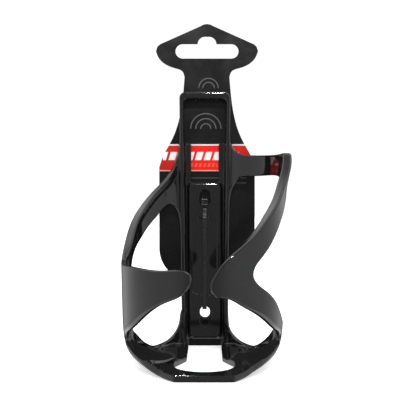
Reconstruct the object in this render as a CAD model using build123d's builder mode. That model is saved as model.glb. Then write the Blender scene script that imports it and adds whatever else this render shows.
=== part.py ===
"""Side-entry bottle cage for a bicycle, still tied to its hang card.

Frame: millimetres, +Z up, -Y towards the bottle, +X to the right when facing the open side.
The origin is the centre of the bolt pattern, on the face that lies against the bicycle tube.
"""

import os
from math import cos, radians, sin

from build123d import *

# --- bolt interface -------------------------------------------------------------------------
BOLT_SPACING = 64.0  # the usual spacing of bottle bosses
SLOT_WIDTH = 5.5  # clears an M5 bolt
SLOT_LENGTH = 8.0
BOLT_HEIGHTS = (BOLT_SPACING / 2, -BOLT_SPACING / 2)

# --- bottle pocket --------------------------------------------------------------------------
BOTTLE_X = -0.8  # axis of the bottle
BOTTLE_Y = -45.0
WALL_RADIUS = 40.2  # outside of the bands at height 0
WALL_TAPER = 0.026  # growth of that radius per millimetre of height
WALL = 2.9  # thickness of the bands
LEFT_WING_Y = -34.0  # behind this the left wing passes into the arm above and the ring below
RIGHT_WING_Y = -47.0  # behind this the right wing passes into the arm above and the ring below

# --- spine ----------------------------------------------------------------------------------
SPINE_TOP = 89.3
SPINE_BOTTOM = -50.6
RAIL_DEPTH = 8.5
RAIL = 2.2  # width of a rail's front edge
TOP_CORNER = 3.5
SPINE_HALF_TOP = 14.0
SPINE_HALF_BOTTOM = 12.5
BACK_PLATE = 2.5
PAD_HALF = 8.0  # raised centre of the plate
PAD_RISE = 2.0
PAD_BOTTOM = -45.5
PAD_CORNER = 3.0
FLANGE_HALF = 7.6  # half the width of the window's narrow part
WINDOW_TOP = 85.5
WINDOW_NECK = 62.0  # below this the window is narrowed by two flanges
WINDOW_BOTTOM = 40.0
PANEL_TOP = 21.0
PANEL_BOTTOM = -22.0
PANEL_HALF = 7.0
PANEL_SINK = 0.4
PANEL_ARCH = 1.8
RECESS_Z = -38.2  # round-ended recess under the lower slot
RECESS_LENGTH = 4.8
RECESS_WIDTH = 4.6

# --- base -----------------------------------------------------------------------------------
FLOOR = 2.5  # thickness of the floor
FLOOR_STATIONS = [13.7, 24.0, 34.0, 40.0, 44.0]  # distances from the middle
FLOOR_RISES = [0.0, 3.1, 7.6, 13.0, 20.0]  # rise of the floor's front half at those distances
FLAT_FLOOR_Y = -20.0  # behind this the floor is flat
FLOOR_BOTTOM = -50.6
KEYHOLE_HALF = 8.7
KEYHOLE_RADIUS = 14.0
KEYHOLE_Y = -64.0
TOE_Y = -86.0
TOE_HALF = 13.7
TOE_ROOT_HALF = 24.0
TOE_ROOT_Y = -74.5

# --- hang card ------------------------------------------------------------------------------
CARD = 0.7
CARD_X = 1.15
CARD_TOP = 128.2
CARD_BOTTOM = -14.0
CARD_HALF = 26.5
CARD_CORNER = 17.5
HANG_SLOT_Z = 113.0
HANG_SLOT_HALF = 17.5
HANG_SLOT_R = 4.0
HANG_BUMP_HALF = 5.2
HANG_BUMP_R = 4.1
CARD_HOLE_R = 4.5  # lets the tie, and a bolt, through at the upper slot

# --- cable tie ------------------------------------------------------------------------------
TIE_X = -0.2
STRAP_WIDTH = 2.4
STRAP = 0.9
HEAD_WIDTH = 4.7
HEAD_HEIGHT = 4.5
HEAD_DEPTH = 3.4
HEAD_CORNER = 0.8
TIE_GAP = 0.05  # keeps the tie off the faces that it passes
TIE_SLOT_GAP = 0.75  # room between the strap and the round end of a slot
TIE_BEND = 0.9  # radius of the strap's middle where it turns

BOTTLE_AXIS = Axis((BOTTLE_X, BOTTLE_Y, 0), (0, 0, 1))
REACH = 120.0  # longer than anything it has to cut


def wall_radius(height):
    return WALL_RADIUS + WALL_TAPER * height


# --- shared bodies --------------------------------------------------------------------------
def make_cone(inset):
    """Solid cone of the bottle pocket, inset from the outside of the bands."""
    with BuildPart() as cone:
        with BuildSketch(Plane(origin=(BOTTLE_X, BOTTLE_Y, 0), x_dir=(1, 0, 0), z_dir=(0, -1, 0))):
            with BuildLine():
                Polyline(
                    (0, FLOOR_BOTTOM),
                    (wall_radius(FLOOR_BOTTOM) - inset, FLOOR_BOTTOM),
                    (wall_radius(SPINE_TOP) - inset, SPINE_TOP),
                    (0, SPINE_TOP),
                    close=True,
                )
            make_face()
        revolve(axis=BOTTLE_AXIS)
    return cone.part


def make_underside(plane, rises):
    """Section of the room above the floor; rises are the floor's heights from the toe outwards."""
    right = [(x, FLOOR_BOTTOM + rise) for x, rise in zip(FLOOR_STATIONS, rises)]
    left = [(-x, z) for x, z in reversed(right)]
    with BuildSketch(plane) as section:
        with BuildLine():
            Spline(*right)
            Spline(*left)
            Line(left[-1], right[0])
            Polyline(right[-1], (right[-1][0], SPINE_TOP), (left[0][0], SPINE_TOP), left[0])
        make_face()
    return section.sketch


def make_above_floor():
    """Everything above the underside of the floor, which rises to the sides towards the front."""
    front = make_underside(Plane.XZ.offset(-BOTTLE_Y), FLOOR_RISES)
    back = make_underside(Plane.XZ.offset(-FLAT_FLOOR_Y), [0] * len(FLOOR_STATIONS))
    with BuildPart() as above:
        extrude(front, amount=REACH)
        loft([front.face(), back.face()], ruled=True)
        extrude(back, amount=FLAT_FLOOR_Y)
    return above.part


cone_outside = make_cone(0)
cone_inside = make_cone(WALL)
above_floor = make_above_floor()
room = above_floor.moved(Location((0, 0, FLOOR)))


def make_shell(inside, outside):
    """The bottle shell between two cones, above the floor."""
    with BuildPart() as shell:
        add(outside)
        add(inside, mode=Mode.SUBTRACT)
        add(room, mode=Mode.INTERSECT)
    return shell.part


def place(reach, angle, height):
    """A point at an angle from the front, on a copy of the wall scaled about the bottle axis."""
    radius = reach * wall_radius(height)
    x = BOTTLE_X + radius * sin(radians(angle))
    return (x, BOTTLE_Y - radius * cos(radians(angle)), height)


def make_radial_face(points):
    """Ruled face that cuts radially through the shell along one edge of an outline."""
    with BuildLine() as near:
        Spline(*[place(0.7, *point) for point in points])
    with BuildLine() as far:
        Spline(*[place(1.3, *point) for point in points])
    return Face.make_surface_from_curves(near.edge(), far.edge())


def cut_from_shell(shell, edges):
    """The solid of the shell inside a closed outline, drawn as (angle, height) edges."""
    outline = Shell([make_radial_face(points) for points in edges])
    with BuildPart() as pieces:
        add(shell)
        split(bisect_by=outline, keep=Keep.ALL)
    return pieces.solids().sort_by(SortBy.VOLUME)[0]


# --- spine ----------------------------------------------------------------------------------
def spine_half(height):
    share = (height - SPINE_BOTTOM) / (SPINE_TOP - SPINE_BOTTOM)
    return SPINE_HALF_BOTTOM + share * (SPINE_HALF_TOP - SPINE_HALF_BOTTOM)


def tapered_outline(inset, bottom, top):
    """Outline between the spine's tapered sides, seen from the front."""
    low = spine_half(bottom) - inset
    high = spine_half(top) - inset
    Polyline((-low, bottom), (low, bottom), (high, top), (-high, top), close=True)


def make_spine_block():
    with BuildPart() as block:
        with BuildSketch(Plane.XZ):
            with BuildLine():
                tapered_outline(0, SPINE_BOTTOM, SPINE_TOP)
            make_face()
        extrude(amount=RAIL_DEPTH)
        fillet(block.edges().filter_by(Axis.Y).group_by(Axis.Z)[-1], radius=TOP_CORNER)
    return block.part


def panel_outline():
    low = PANEL_BOTTOM + PANEL_ARCH
    high = PANEL_TOP - PANEL_ARCH
    ThreePointArc((-PANEL_HALF, high), (0, PANEL_TOP), (PANEL_HALF, high))
    Line((PANEL_HALF, high), (PANEL_HALF, low))
    ThreePointArc((PANEL_HALF, low), (0, PANEL_BOTTOM), (-PANEL_HALF, low))
    Line((-PANEL_HALF, low), (-PANEL_HALF, high))


spine_block = make_spine_block()

with BuildPart() as spine:
    add(spine_block)
    # channel between the rails, open at its lower end
    with BuildSketch(Plane.XZ.offset(BACK_PLATE)):
        with BuildLine():
            tapered_outline(RAIL, SPINE_BOTTOM, WINDOW_TOP)
        make_face()
    extrude(amount=RAIL_DEPTH, mode=Mode.SUBTRACT)
    # raised pad between the grooves
    with BuildSketch(Plane.XZ):
        with Locations((0, (WINDOW_BOTTOM + PAD_BOTTOM) / 2)):
            RectangleRounded(2 * PAD_HALF, WINDOW_BOTTOM - PAD_BOTTOM, PAD_CORNER)
    extrude(amount=BACK_PLATE + PAD_RISE)
    # window, narrowed at its lower end by the two flanges
    with BuildSketch(Plane.XZ):
        with BuildLine():
            tapered_outline(RAIL, WINDOW_NECK, WINDOW_TOP)
        make_face()
        with Locations((0, (WINDOW_NECK + WINDOW_BOTTOM) / 2)):
            Rectangle(2 * FLANGE_HALF, WINDOW_NECK - WINDOW_BOTTOM)
    extrude(amount=BACK_PLATE, mode=Mode.SUBTRACT)
    # shallow panel with arched ends in the pad
    with BuildSketch(Plane.XZ.offset(BACK_PLATE + PAD_RISE - PANEL_SINK)):
        with BuildLine():
            panel_outline()
        make_face()
    extrude(amount=RAIL_DEPTH, mode=Mode.SUBTRACT)
    # bolt slots
    with BuildSketch(Plane.XZ):
        with Locations(*[(0, z) for z in BOLT_HEIGHTS]):
            SlotOverall(SLOT_LENGTH, SLOT_WIDTH, rotation=90)
    extrude(amount=RAIL_DEPTH, mode=Mode.SUBTRACT)
    # round-ended recess under the lower slot
    with BuildSketch(Plane.XZ.offset(BACK_PLATE)):
        with Locations((0, RECESS_Z)):
            SlotOverall(RECESS_LENGTH, RECESS_WIDTH, rotation=90)
    extrude(amount=RAIL_DEPTH, mode=Mode.SUBTRACT)
spine.part.label = "spine"


# --- band outlines, as (angle from the front, height) ---------------------------------------
LEFT_WING = [(-73, -39.6), (-68, -36.8), (-60.8, -32.9), (-50, -26.6), (-37.9, -20.9)]
LEFT_WING += [(-27, -16.9), (-17, -14.2), (-10.4, -10.9), (-7.4, -6.5), (-8.0, -3.4), (-11.5, -1.9)]
LEFT_WING += [(-24, -1.8), (-50, -1.5), (-65, -1.2), (-80, -0.6), (-88, 1.2)]
LEFT_ARM_TOP = [(-95, 4.7), (-103.5, 11.1), (-112.5, 18.7), (-123, 25.6), (-134.4, 32.8)]
LEFT_ARM_TOP += [(-144, 38.5), (-150, 42.5), (-155, 47), (-158.5, 52), (-161, 58), (-163, 66)]
LEFT_ARM_LOW = [(-163, 14), (-160.5, 22.5), (-158, 26.1), (-152, 27.9), (-145, 25.2), (-139, 21)]
LEFT_ARM_LOW += [(-130, 15.7), (-123, 11.1), (-113, 5.0), (-106.5, -1), (-103.2, -10)]
LEFT_WINDOW = [(-102.5, -22), (-103.2, -32)]

RIGHT_ARM_TOP = [(163, 72), (160, 63), (155.4, 57.5), (148.5, 55.2), (139, 54.2), (120, 53.5)]
RIGHT_ARM_TOP += [(98, 53.3), (89, 53.0)]
RIGHT_WING = [(89, 53.0), (82, 45.5), (75.3, 39.5), (60, 28.8), (47.5, 21.3), (37.5, 14.9)]
RIGHT_WING += [(28.3, 9.8), (21, 6.1), (13.5, 1.4), (8.3, -3.6), (5.2, -9.1), (7.2, -12.6)]
RIGHT_WING += [(17, -14.5), (25.5, -17.3), (35.4, -21), (48, -26.8), (60.8, -33.2), (68, -36.9)]
RIGHT_WING += [(73, -39.6)]
RIGHT_WING_TOP = [(90, -30.4), (79, -26.3), (68.9, -21.5), (58.4, -16.2), (47.4, -11.6)]
RIGHT_WING_TOP += [(39.5, -8.2), (35.8, -4.4), (37.2, -0.8), (42, 2.7), (50, 7.6), (58.9, 14.1)]
RIGHT_WING_TOP += [(69.1, 22), (78, 29)]
RIGHT_ARM_LOW = [(85, 34), (93, 38.6), (101, 41.4), (112, 42.8), (130, 43), (141, 43.1)]
RIGHT_ARM_LOW += [(148.5, 42.8), (153, 41), (157.6, 35.8), (161, 25)]

RING = [(104, -34.6), (110, -37.6), (119, -41.8), (129, -45.6), (136, -47.0), (144.2, -46.3)]
RING += [(152.6, -43.9), (158, -40.4), (162, -31)]

RIB_EDGE = [(89, 53.0), (82, 45.5), (75.3, 39.5), (66, 33)]
RIB_BACK = [(66, 33), (78, 37), (86, 42.5), (91, 47), (95, 53.2)]
RIB_RADIUS = 43.9  # outside of the stiffening rib at the right arm's corner
RIB_FOOT = 33.0  # height where the rib runs out into the band

CUT_DEPTH = FLOOR_BOTTOM - 5
SPINE_CUT = 164.0  # angle, inside the spine's rails


def straight(start, end, steps=2):
    """Evenly spaced places on a line of an outline."""
    (a, h), (b, k) = start, end
    return [(a + (b - a) * i / steps, h + (k - h) * i / steps) for i in range(steps + 1)]


def mirrored(points):
    return [(-a, h) for a, h in points]


def behind_spine(first, last, side):
    """Edges that close an outline inside the spine."""
    top = (side * SPINE_CUT, first[1])
    low = (side * SPINE_CUT, last[1])
    return [straight(first, top), straight(top, low), straight(low, last)]


def below_floor(ring_end, mouth_end, side):
    """Edges that close an outline inside the spine and under the floor."""
    inner = (side * SPINE_CUT, ring_end[1])
    low = (side * SPINE_CUT, CUT_DEPTH)
    front = (mouth_end[0], CUT_DEPTH)
    return [
        straight(ring_end, inner),
        straight(inner, low),
        straight(low, front, steps=8),
        straight(front, mouth_end),
    ]


shell = make_shell(cone_inside, cone_outside)

left_top = LEFT_WING + LEFT_ARM_TOP
left_low = LEFT_ARM_LOW + LEFT_WINDOW + mirrored(RING)
left_band = cut_from_shell(
    shell,
    [
        left_top,
        *behind_spine(left_top[-1], left_low[0], -1),
        left_low,
        *below_floor(left_low[-1], left_top[0], -1),
    ],
)

right_low = list(reversed(RING)) + RIGHT_WING_TOP + RIGHT_ARM_LOW
right_band = cut_from_shell(
    shell,
    [
        RIGHT_ARM_TOP,
        RIGHT_WING,
        *reversed(below_floor(right_low[0], RIGHT_WING[-1], 1)),
        right_low,
        *behind_spine(right_low[-1], RIGHT_ARM_TOP[0], 1),
    ],
)


def make_rib():
    """Thicker corner of the right arm, which runs out into the band lower down."""
    with BuildPart() as flare:
        with BuildSketch(Plane(origin=(BOTTLE_X, BOTTLE_Y, 0), x_dir=(1, 0, 0), z_dir=(0, -1, 0))):
            with BuildLine():
                top = RIGHT_ARM_TOP[-1][1]
                Polyline(
                    (wall_radius(RIB_FOOT) - WALL / 2, RIB_FOOT),
                    (wall_radius(RIB_FOOT), RIB_FOOT),
                    (RIB_RADIUS, top),
                    (wall_radius(top) - WALL / 2, top),
                    close=True,
                )
            make_face()
        revolve(axis=BOTTLE_AXIS)
    return cut_from_shell(flare.part, [RIB_EDGE, RIB_BACK, straight(RIB_BACK[-1], RIB_EDGE[0])])


def rear_pieces(band, split_y):
    """The arm and the ring: what a band leaves behind the wing, highest first."""
    with BuildPart() as rear:
        add(band)
        split(bisect_by=Plane.XZ.offset(-split_y), keep=Keep.BOTTOM)
        add(spine_block, mode=Mode.SUBTRACT)
    return rear.solids().sort_by(Axis.Z, reverse=True)


def front_piece(band, split_y):
    """The wing: what a band has in front of the split."""
    with BuildPart() as front:
        add(band)
        split(bisect_by=Plane.XZ.offset(-split_y), keep=Keep.TOP)
    return front.part


with BuildPart() as right_flared_band:
    add(right_band)
    add(make_rib())

left_rear = rear_pieces(left_band, LEFT_WING_Y)
right_rear = rear_pieces(right_flared_band.part, RIGHT_WING_Y)

with BuildPart() as left_arm:
    add(left_rear[0])
left_arm.part.label = "left_arm"

with BuildPart() as left_wing:
    add(front_piece(left_band, LEFT_WING_Y))
left_wing.part.label = "left_wing"

with BuildPart() as left_ring:
    add(left_rear[-1])
left_ring.part.label = "left_ring"

with BuildPart() as right_arm:
    add(right_rear[0])
right_arm.part.label = "right_arm"

with BuildPart() as right_wing:
    add(front_piece(right_flared_band.part, RIGHT_WING_Y))
right_wing.part.label = "right_wing"

with BuildPart() as right_ring:
    add(right_rear[-1])
right_ring.part.label = "right_ring"


# --- base floor -----------------------------------------------------------------------------
with BuildPart() as base_floor:
    with BuildSketch(Plane.XY.offset(FLOOR_BOTTOM)):
        with BuildLine():
            Polyline(
                (-TOE_ROOT_HALF, TOE_ROOT_Y),
                (-TOE_HALF, TOE_Y),
                (TOE_HALF, TOE_Y),
                (TOE_ROOT_HALF, TOE_ROOT_Y),
                (0, BOTTLE_Y),
                close=True,
            )
        make_face()
    extrude(amount=REACH / 2)
    add(cone_outside)
    add(above_floor, mode=Mode.INTERSECT)
    add(room, mode=Mode.SUBTRACT)
    add(spine_block, mode=Mode.SUBTRACT)
    # keyhole opening
    with BuildSketch(Plane.XY.offset(FLOOR_BOTTOM)):
        with Locations((0, KEYHOLE_Y)):
            Circle(KEYHOLE_RADIUS)
        with Locations((0, KEYHOLE_Y / 2)):
            Rectangle(2 * KEYHOLE_HALF, -KEYHOLE_Y)
    extrude(amount=REACH / 2, mode=Mode.SUBTRACT)
base_floor.part.label = "base_floor"


# --- hang card ------------------------------------------------------------------------------
def card_half(side):
    """One half of the card's outline, from the apex to the middle of its lower edge."""

    def at(x, z):
        return (CARD_X + side * x, z)

    header = CARD_HALF + 1.85
    ThreePointArc(at(0, CARD_TOP), at(1.9, CARD_TOP - 0.3), at(3.6, CARD_TOP - 1.2))
    Line(at(3.6, CARD_TOP - 1.2), at(header - 2.4, 117.0))
    ThreePointArc(at(header - 2.4, 117.0), at(header - 0.5, 115.4), at(header, 113.0))
    Spline(
        at(header, 113.0),
        at(header - 1.6, 109.3),
        at(header - 6.3, 105.2),
        at(header - 11, 103.5),
        at(header - 14.6, 101.9),
        at(header - 15.9, 98.7),
    )
    Spline(
        at(header - 15.9, 98.7),
        at(13.3, 89),
        at(14.7, 79),
        at(17, 70),
        at(20.6, 61.8),
        at(24.4, 54.8),
        at(CARD_HALF, 48.5),
    )
    Line(at(CARD_HALF, 48.5), at(CARD_HALF, CARD_BOTTOM + CARD_CORNER))
    RadiusArc(
        at(CARD_HALF, CARD_BOTTOM + CARD_CORNER),
        at(CARD_HALF - CARD_CORNER, CARD_BOTTOM),
        side * CARD_CORNER,
    )
    Line(at(CARD_HALF - CARD_CORNER, CARD_BOTTOM), at(0, CARD_BOTTOM))


with BuildPart() as hang_card:
    with BuildSketch(Plane.XZ):
        with BuildLine():
            card_half(1)
            card_half(-1)
        make_face()
        # hanger slot with its middle bump
        with Locations((CARD_X, HANG_SLOT_Z)):
            SlotOverall(2 * HANG_SLOT_HALF, 2 * HANG_SLOT_R, mode=Mode.SUBTRACT)
        with Locations((CARD_X, HANG_SLOT_Z + HANG_SLOT_R)):
            SlotOverall(2 * HANG_BUMP_HALF, 2 * HANG_BUMP_R, mode=Mode.SUBTRACT)
        with Locations((0, BOLT_HEIGHTS[0])):
            Circle(CARD_HOLE_R, mode=Mode.SUBTRACT)
    extrude(amount=-CARD)
hang_card.part.label = "hang_card"


# --- cable tie ------------------------------------------------------------------------------
TIE_FRONT_Y = -(BACK_PLATE + PAD_RISE + TIE_GAP)  # inside of the strap along the pad
TIE_BACK_Y = CARD + TIE_GAP  # inside of the strap behind the card
TIE_REACH = (BOLT_SPACING - SLOT_LENGTH) / 2 + TIE_SLOT_GAP + STRAP / 2  # to the strap's middle

with BuildPart() as tie_head:
    with BuildSketch(Plane.XZ.offset(-TIE_FRONT_Y)):
        with Locations((TIE_X, TIE_REACH)):
            RectangleRounded(HEAD_WIDTH, HEAD_HEIGHT, HEAD_CORNER)
    extrude(amount=HEAD_DEPTH)
    fillet(tie_head.faces().sort_by(Axis.Y)[0].edges(), radius=HEAD_CORNER / 2)
    # the window that the strap's tail comes through
    with BuildSketch(Plane.XZ.offset(-TIE_FRONT_Y)):
        with Locations((TIE_X, TIE_REACH)):
            Rectangle(STRAP_WIDTH, STRAP)
    extrude(amount=HEAD_DEPTH, mode=Mode.SUBTRACT)
tie_head.part.label = "tie_head"

with BuildPart() as tie_strap:
    # from the head down the pad, through the lower slot, up the back and out through the head
    with BuildSketch(Plane.YZ.offset(TIE_X)):
        with BuildLine():
            route = FilletPolyline(
                (TIE_FRONT_Y - STRAP / 2, TIE_REACH - HEAD_HEIGHT / 2),
                (TIE_FRONT_Y - STRAP / 2, -TIE_REACH),
                (TIE_BACK_Y + STRAP / 2, -TIE_REACH),
                (TIE_BACK_Y + STRAP / 2, TIE_REACH),
                (TIE_FRONT_Y - HEAD_DEPTH, TIE_REACH),
                radius=TIE_BEND,
            )
            offset(route, amount=STRAP / 2)
        make_face()
    extrude(amount=STRAP_WIDTH / 2, both=True)
    add(tie_head.part, mode=Mode.SUBTRACT)
tie_strap.part.label = "tie_strap"


# --- export ---------------------------------------------------------------------------------
os.makedirs("parts", exist_ok=True)
export_step(spine.part, "parts/spine.step")
export_step(left_arm.part, "parts/left_arm.step")
export_step(left_wing.part, "parts/left_wing.step")
export_step(left_ring.part, "parts/left_ring.step")
export_step(right_arm.part, "parts/right_arm.step")
export_step(right_wing.part, "parts/right_wing.step")
export_step(right_ring.part, "parts/right_ring.step")
export_step(base_floor.part, "parts/base_floor.step")
export_step(hang_card.part, "parts/hang_card.step")
export_step(tie_strap.part, "parts/tie_strap.step")
export_step(tie_head.part, "parts/tie_head.step")
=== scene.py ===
"""Glossy moulded bottle cage, tied to its printed hang card.

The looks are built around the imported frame. Sizes are in millimetres, in the frame of the part:
+Z up, -Y towards the bottle, +X to the right when facing the open side. Blender gets metres.
"""

import math

import bmesh
import bpy
import numpy as np
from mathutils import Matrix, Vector


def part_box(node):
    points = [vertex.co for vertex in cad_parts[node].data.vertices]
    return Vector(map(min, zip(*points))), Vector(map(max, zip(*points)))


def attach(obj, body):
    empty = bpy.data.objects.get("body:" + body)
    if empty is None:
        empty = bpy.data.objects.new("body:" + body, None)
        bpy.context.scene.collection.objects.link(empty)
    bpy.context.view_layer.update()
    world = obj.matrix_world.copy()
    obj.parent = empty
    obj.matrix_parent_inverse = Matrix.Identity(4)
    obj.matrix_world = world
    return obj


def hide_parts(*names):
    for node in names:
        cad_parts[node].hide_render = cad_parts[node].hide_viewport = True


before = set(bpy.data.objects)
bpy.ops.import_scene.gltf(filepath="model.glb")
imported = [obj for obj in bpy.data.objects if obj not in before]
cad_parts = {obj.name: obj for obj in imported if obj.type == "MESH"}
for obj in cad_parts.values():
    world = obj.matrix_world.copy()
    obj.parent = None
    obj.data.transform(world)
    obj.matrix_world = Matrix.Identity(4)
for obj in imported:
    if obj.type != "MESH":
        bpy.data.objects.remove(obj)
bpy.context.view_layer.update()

MM = 0.001

# --- the frame's driving sizes ----------------------------------------------------------------
spine_low, spine_high = (np.array(corner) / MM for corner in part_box("spine"))
card_low, card_high = (np.array(corner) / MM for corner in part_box("hang_card"))
strap_low, strap_high = (np.array(corner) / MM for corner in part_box("tie_strap"))
head_low, head_high = (np.array(corner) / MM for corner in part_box("tie_head"))

BOTTOM = spine_low[2]
SPINE_TOP = spine_high[2]
RAIL_DEPTH = -spine_low[1]
HALF_TOP = spine_high[0]  # half the spine's width at its top
HALF_BOTTOM = 12.5

BOTTLE_X = -0.8  # axis of the bottle
BOTTLE_Y = -45.0
WALL_RADIUS = 40.2  # outside of the bands at height 0
WALL_TAPER = 0.026
WALL = 2.9
EDGE = 0.95  # rounding of the bands' edges
UNROLL = 40.0  # radius at which outlines are drawn flat
ROOT_SHIFT = 1.7  # how far the bands step back to meet the spine behind its rails' front edges
LEAN = 2.25  # how far the right arm's corner leans outwards
LEFT_SPLIT = (-34.0, -20.0)  # y behind which a wing ends, z between the arm above and the ring below
RIGHT_SPLIT = (-47.0, 0.0)

FLOOR = 2.6
BOWL = [(0, 0), (8, 0), (14.5, 0.1), (19.5, 0.9), (24, 2.8), (28.6, 4.7), (34.2, 7.6), (37.6, 11.1)]
BOWL += [(39.3, 14.5), (40.8, 20), (43.5, 34)]  # the underside as (distance to the side, rise)
SHEET_TOP = -38.8  # the floor's sheet goes no higher
FLAT_FLOOR_Y = -20.0
TOE_Y = -86.0
TOE_HALF = 13.7
TOE_ROOT = (24.0, -74.5)
RIB = ((15.6, -52.0), (23.5, -71.5))  # ends of the low rib on each side of the keyhole
KEYHOLE_HALF = 8.9
KEYHOLE_SHOULDER = -42.5  # y where the slot begins to widen
KEYHOLE_END = -64.0  # y of the middle of its round end
KEYHOLE_RADIUS = 14.4

RAIL = 2.3  # width of the spine's rails
BRIDGE = 3.9  # height of the bridge at the spine's top
PAD_MIDDLE = (0, -2.75)
PAD_HALF = (9.2, 42.75)
WINDOW_NECK = 62.0  # below this the window is narrower
PANEL_HALF = 7.0
PANEL_ARCH = 1.8
SLOTS = ((30.75, 33.25), (-31.7, -30.75))  # heights of the ends of the two bolt slots' middle lines
SLOT_RADIUS = 2.75
RECESS = (-36.4, -34.0)  # the same for the blind recess under them
RECESS_RADIUS = 2.4

# --- outlines, as (angle from the front, height) ----------------------------------------------
MOUTH = [(-57, -44.6), (-60.2, -43.4), (-66, -41.9), (-72.5, -40.0), (-77, -38.0), (-78.6, -36.2)]
MOUTH += [(-76, -34.5), (-68.5, -32.4), (-59, -29.8), (-49.5, -26.1)]  # rounded corner of the mouth
LEFT_WING = MOUTH + [(-37.9, -20.9)]
LEFT_WING += [(-27, -16.9), (-17, -14.2), (-10.4, -10.9), (-7.4, -6.5), (-8.0, -3.4), (-11.5, -1.9)]
LEFT_WING += [(-24, -1.8), (-50, -1.5), (-65, -1.2), (-80, -0.6), (-88, 1.2)]
LEFT_ARM_TOP = [(-95, 4.7), (-103.5, 11.1), (-112.5, 18.7), (-123, 25.6), (-134.4, 32.8)]
LEFT_ARM_TOP += [(-144, 38.5), (-150, 42.5), (-155, 47), (-158.5, 52), (-161, 58), (-163, 66)]
LEFT_ARM_LOW = [(-163, 14), (-160.5, 22.5), (-158, 26.1), (-152, 27.9), (-145, 25.2), (-139, 21)]
LEFT_ARM_LOW += [(-130, 15.7), (-123, 11.1), (-113, 5.0), (-106.5, -1), (-103.2, -10)]
LEFT_WINDOW = [(-102.5, -22), (-103.2, -32)]

RIGHT_ARM_TOP = [(163, 72), (160, 63), (155.4, 57.5), (148.5, 55.2), (139, 54.2), (120, 53.5)]
RIGHT_ARM_TOP += [(98, 53.3), (92.5, 53.2), (89.6, 52.5), (87.2, 50.7)]
RIGHT_WING = [(82, 45.5), (75.3, 39.5), (60, 28.8), (47.5, 21.3), (37.5, 14.9)]
RIGHT_WING += [(28.3, 9.8), (21, 6.1), (13.5, 1.4), (8.3, -3.6), (5.2, -9.1), (7.2, -12.6)]
RIGHT_WING += [(17, -14.5), (25.5, -17.3), (37, -21.3)]
RIGHT_WING += [(-a, h) for a, h in reversed(MOUTH)]
RIGHT_WING_TOP = [(90, -30.4), (79, -26.3), (68.9, -21.5), (58.4, -16.2), (47.4, -11.6)]
RIGHT_WING_TOP += [(39.5, -8.2), (35.8, -4.4), (37.2, -0.8), (42, 2.7), (50, 7.6), (58.9, 14.1)]
RIGHT_WING_TOP += [(69.1, 22), (78, 29)]
RIGHT_ARM_LOW = [(85, 34), (93, 38.6), (101, 41.4), (112, 42.8), (130, 43), (141, 43.1)]
RIGHT_ARM_LOW += [(148.5, 42.8), (153, 41), (157.6, 35.8), (161, 25)]

RING = [(104, -34.6), (110, -37.6), (119, -41.8), (129, -45.6), (136, -47.0), (144.2, -46.3)]
RING += [(152.6, -43.9), (158, -40.4), (162, -31)]

SPINE_ANGLE = 168.0  # inside the spine
CUT_DEPTH = BOTTOM - 8.0  # under the floor


# --- numbers and distances --------------------------------------------------------------------
def smooth_line(points, step=0.1):
    """Places along a natural cubic spline through the points."""
    p = np.array(points, float)
    n = len(p)
    t = np.concatenate([[0], np.cumsum(np.linalg.norm(np.diff(p, axis=0), axis=1))])
    h = np.diff(t)
    bend = np.eye(n)
    right = np.zeros_like(p)
    for i in range(1, n - 1):
        bend[i, i - 1 : i + 2] = h[i - 1], 2 * (h[i - 1] + h[i]), h[i]
        right[i] = 6 * ((p[i + 1] - p[i]) / h[i] - (p[i] - p[i - 1]) / h[i - 1])
    m = np.linalg.solve(bend, right)
    s = np.linspace(0, t[-1], int(t[-1] / step) + 2)
    k = np.clip(np.searchsorted(t, s, side="right") - 1, 0, n - 2)
    a = ((t[k + 1] - s) / h[k])[:, None]
    b = 1 - a
    return a * p[k] + b * p[k + 1] + ((a**3 - a) * m[k] + (b**3 - b) * m[k + 1]) * (h[k] ** 2)[:, None] / 6


def thinned(line, turn=math.radians(3.0), reach=2.5):
    """The places of a dense line that are needed to keep its shape."""
    kept = [line[0]]
    heading = None
    for a, b in zip(line[:-1], line[1:]):
        way = math.atan2(b[1] - a[1], b[0] - a[0])
        heading = way if heading is None else heading
        swing = abs((way - heading + math.pi) % (2 * math.pi) - math.pi)
        if swing > turn or np.linalg.norm(b - kept[-1]) > reach:
            kept.append(a)
            heading = way
    return np.array(kept + [line[-1]])


def step_up(value, low, high):
    t = np.clip((value - low) / (high - low), 0, 1)
    return t * t * (3 - 2 * t)


def both(a, b, r):
    """Inside both shapes, with a rounded edge."""
    corner = np.hypot(np.maximum(a + r, 0), np.maximum(b + r, 0))
    return np.minimum(np.maximum(a, b), -r) + corner


def either(a, b, r):
    """Inside either shape, with a fillet between them."""
    corner = np.hypot(np.maximum(r - a, 0), np.maximum(r - b, 0))
    return np.maximum(np.minimum(a, b), r) - corner


def without(a, b, r):
    """Inside the first shape and outside the second, with a rounded edge."""
    return both(a, -b, r)


def rectangle(u, v, centre, half, r):
    """Distance to a rounded rectangle in the plane of u and v."""
    du = np.abs(u - centre[0]) - half[0] + r
    dv = np.abs(v - centre[1]) - half[1] + r
    return np.minimum(np.maximum(du, dv), 0) + np.hypot(np.maximum(du, 0), np.maximum(dv, 0)) - r


def capsule(u, v, start, end, r):
    """Distance to a round-ended bar in the plane of u and v."""
    a = np.array(start, float)
    e = np.array(end, float) - a
    t = np.clip(((u - a[0]) * e[0] + (v - a[1]) * e[1]) / (e @ e), 0, 1)
    return np.hypot(u - a[0] - t * e[0], v - a[1] - t * e[1]) - r


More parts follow.
